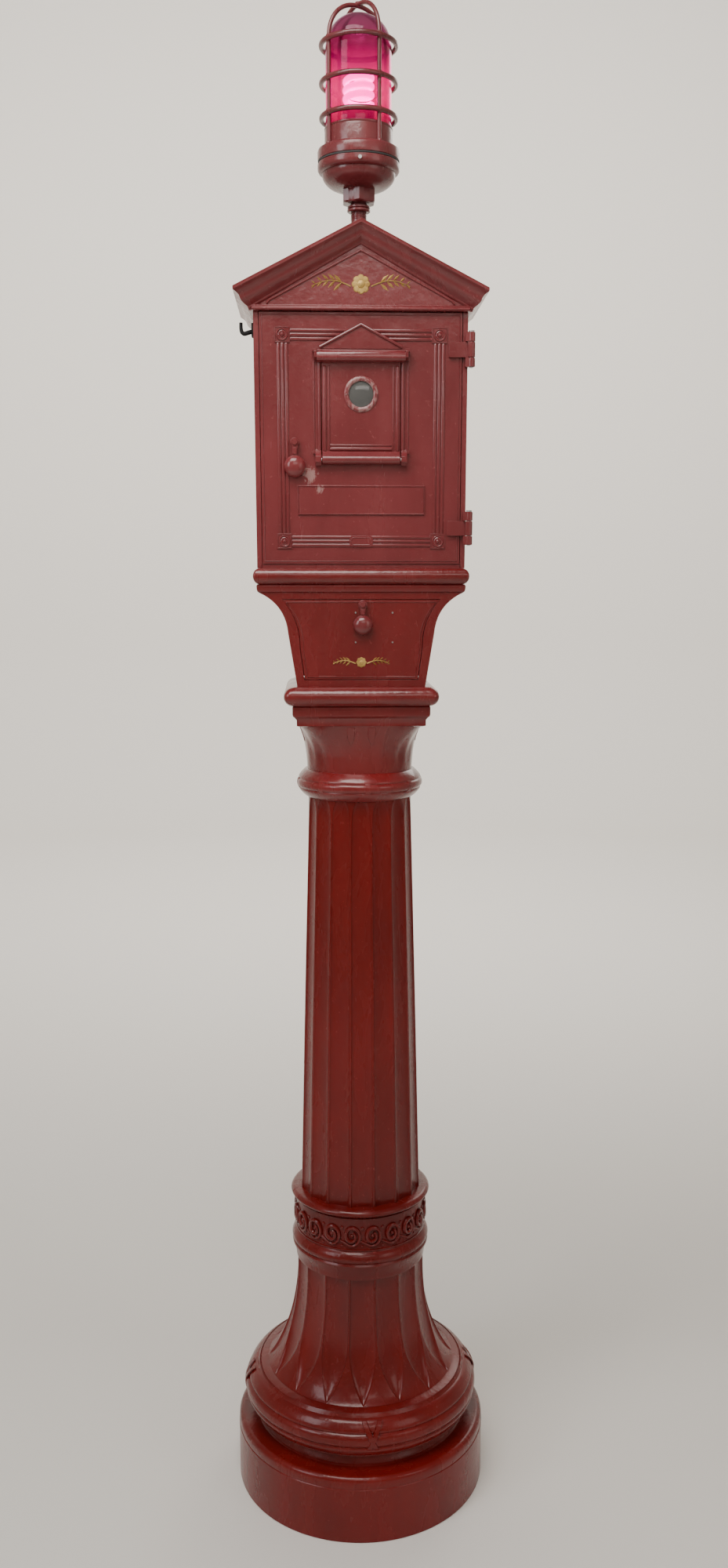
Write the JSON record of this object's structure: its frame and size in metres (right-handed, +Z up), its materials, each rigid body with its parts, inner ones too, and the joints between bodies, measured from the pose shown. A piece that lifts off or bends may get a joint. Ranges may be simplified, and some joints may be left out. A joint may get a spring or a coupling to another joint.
{
  "type": "street fire alarm box",
  "caption": "Pedestal street fire alarm and telephone station: gabled alarm box with quick-action door, terminal box, fluted column and caged red beacon lamp.",
  "frame": {"origin": "centre of the plinth's underside, on the ground", "axes": "+Z up the column to the lamp, the doors face -Y, +X is to the right of someone facing the doors"},
  "size_m": [0.4059, 0.406, 2.2174],
  "materials": {
    "red_enamel": "thick glossy red enamel over cast iron",
    "lamp_metal": "glossy brown-red enamel on cast aluminium",
    "black_iron": "dark iron",
    "steel": "plain steel",
    "aluminium": "thin aluminium sheet",
    "brass": "lacquered brass",
    "window_glass": "dark polished glass",
    "red_glass": "clear ruby glass",
    "clear_glass": "clear glass tube",
    "slate": "black moulded board with a slate finish",
    "porcelain": "white glazed porcelain look",
    "rubber": "black rubber gasket",
    "black_plastic": "black moulded insulator",
    "white_plastic": "white moulded ballast housing",
    "lamp_glow": "lit fluorescent tube"
  },
  "bodies": {
    "pedestal_and_box": {"plinth": "red_enamel", "flared_base": "red_enamel", "scroll_collar": "red_enamel", "fluted_shaft": "red_enamel", "neck_ring": "red_enamel", "capital": "red_enamel", "terminal_box": "red_enamel", "box_shell": "red_enamel", "box_roof": "red_enamel", "lamp_pipe": "lamp_metal", "pipe_locknut": "lamp_metal", "lamp_bowl": "lamp_metal", "lamp_guard": "lamp_metal", "globe_ring": "lamp_metal", "eave_hook": "black_iron", "movement_case": "black_iron", "instrument_shelf": "black_iron", "joint_bolts": "steel", "terminal_hinge_pin": "steel", "door_hinge_pins": "steel", "guard_screws": "steel", "plate_pillars": "steel", "binding_posts": "brass", "movement_back_plate": "brass", "movement_front_plate": "brass", "contact_springs": "brass", "telephone_jack": "brass", "test_gong": "brass", "terminal_board": "slate", "line_fuses": "clear_glass", "key_base": "black_plastic", "lamp_gasket": "rubber", "glass_globe": "red_glass", "lamp_socket": "porcelain", "lamp_ballast": "white_plastic", "spiral_lamp": "lamp_glow"},
    "outer_door": {"outer_door": "red_enamel", "lock_case": "steel", "main_cover_screw": "steel", "quick_hinge_pin": "steel"},
    "lock_bolt": {"lock_bolt": "brass"},
    "lock_tumbler": {"lock_tumbler": "brass"},
    "main_key_cover": {"main_key_cover": "red_enamel"},
    "quick_door": {"quick_door": "red_enamel", "window_glass": "window_glass", "window_bezel": "red_enamel", "window_screws": "steel"},
    "terminal_door": {"terminal_door": "red_enamel", "terminal_cover_screw": "steel"},
    "terminal_lock": {"terminal_lock": "brass"},
    "terminal_key_cover": {"terminal_key_cover": "red_enamel"},
    "great_wheel": {"great_wheel": "brass", "spring_barrel": "steel"},
    "code_wheel": {"code_arbor": "brass", "code_wheel": "brass"},
    "fan_governor": {"fan_governor": "aluminium"},
    "pull_lever": {"pull_lever": "brass"},
    "key_lever": {"key_lever": "brass"}
  },
  "joints": [
    {"name": "outer_door_hinge", "type": "hinge", "parent": "pedestal_and_box", "child": "outer_door", "pos_m": [0.1495, -0.093, 1.645], "axis": [0, 0, 1], "range_deg": [0, 110]},
    {"name": "lock_bolt_slide", "type": "slide", "parent": "outer_door", "child": "lock_bolt", "axis": [-1, 0, 0], "range_m": [0, 0.006]},
    {"name": "main_key_turn", "type": "hinge", "parent": "outer_door", "child": "lock_tumbler", "pos_m": [-0.091, -0.089, 1.611], "axis": [0, 1, 0], "range_deg": [-110, 10]},
    {"name": "main_cover_swing", "type": "hinge", "parent": "outer_door", "child": "main_key_cover", "pos_m": [-0.091, -0.089, 1.6426], "axis": [0, 1, 0], "range_deg": [-20, 75]},
    {"name": "quick_door_hinge", "type": "hinge", "parent": "outer_door", "child": "quick_door", "pos_m": [0, -0.0955, 1.62], "axis": [1, 0, 0], "range_deg": [0, 95]},
    {"name": "terminal_door_hinge", "type": "hinge", "parent": "pedestal_and_box", "child": "terminal_door", "pos_m": [0, -0.0875, 1.3245], "axis": [1, 0, 0], "range_deg": [0, 90]},
    {"name": "terminal_key_turn", "type": "hinge", "parent": "terminal_door", "child": "terminal_lock", "pos_m": [0.002, -0.091, 1.397], "axis": [0, 1, 0], "range_deg": [-90, 0]},
    {"name": "terminal_cover_swing", "type": "hinge", "parent": "terminal_door", "child": "terminal_key_cover", "pos_m": [0.002, -0.091, 1.425], "axis": [0, 1, 0], "range_deg": [-75, 75]},
    {"name": "great_wheel_spin", "type": "hinge", "parent": "pedestal_and_box", "child": "great_wheel", "pos_m": [-0.022, 0.06, 1.69], "axis": [0, 1, 0], "continuous": true},
    {"name": "code_wheel_spin", "type": "hinge", "parent": "pedestal_and_box", "child": "code_wheel", "pos_m": [0.026, 0.06, 1.69], "axis": [0, 1, 0], "continuous": true},
    {"name": "fan_spin", "type": "hinge", "parent": "pedestal_and_box", "child": "fan_governor", "pos_m": [0.026, 0.06, 1.726], "axis": [0, 1, 0], "continuous": true},
    {"name": "alarm_lever_pull", "type": "hinge", "parent": "pedestal_and_box", "child": "pull_lever", "pos_m": [-0.058, 0.02, 1.737], "axis": [0, 1, 0], "range_deg": [0, 50], "stiffness_Nm_per_rad": 0.6, "springref_deg": -34.38},
    {"name": "telegraph_key_press", "type": "hinge", "parent": "pedestal_and_box", "child": "key_lever", "pos_m": [-0.058, 0.042, 1.578], "axis": [1, 0, 0], "range_deg": [0, 5], "stiffness_Nm_per_rad": 0.2, "springref_deg": -11.46}
  ],
  "couplings": [
    {"joint": "code_wheel_spin", "follows": "great_wheel_spin", "ratio": -3},
    {"joint": "fan_spin", "follows": "great_wheel_spin", "ratio": 6},
    {"joint": "main_key_turn", "follows": "lock_bolt_slide", "rad_per_m": -261.8}
  ]
}
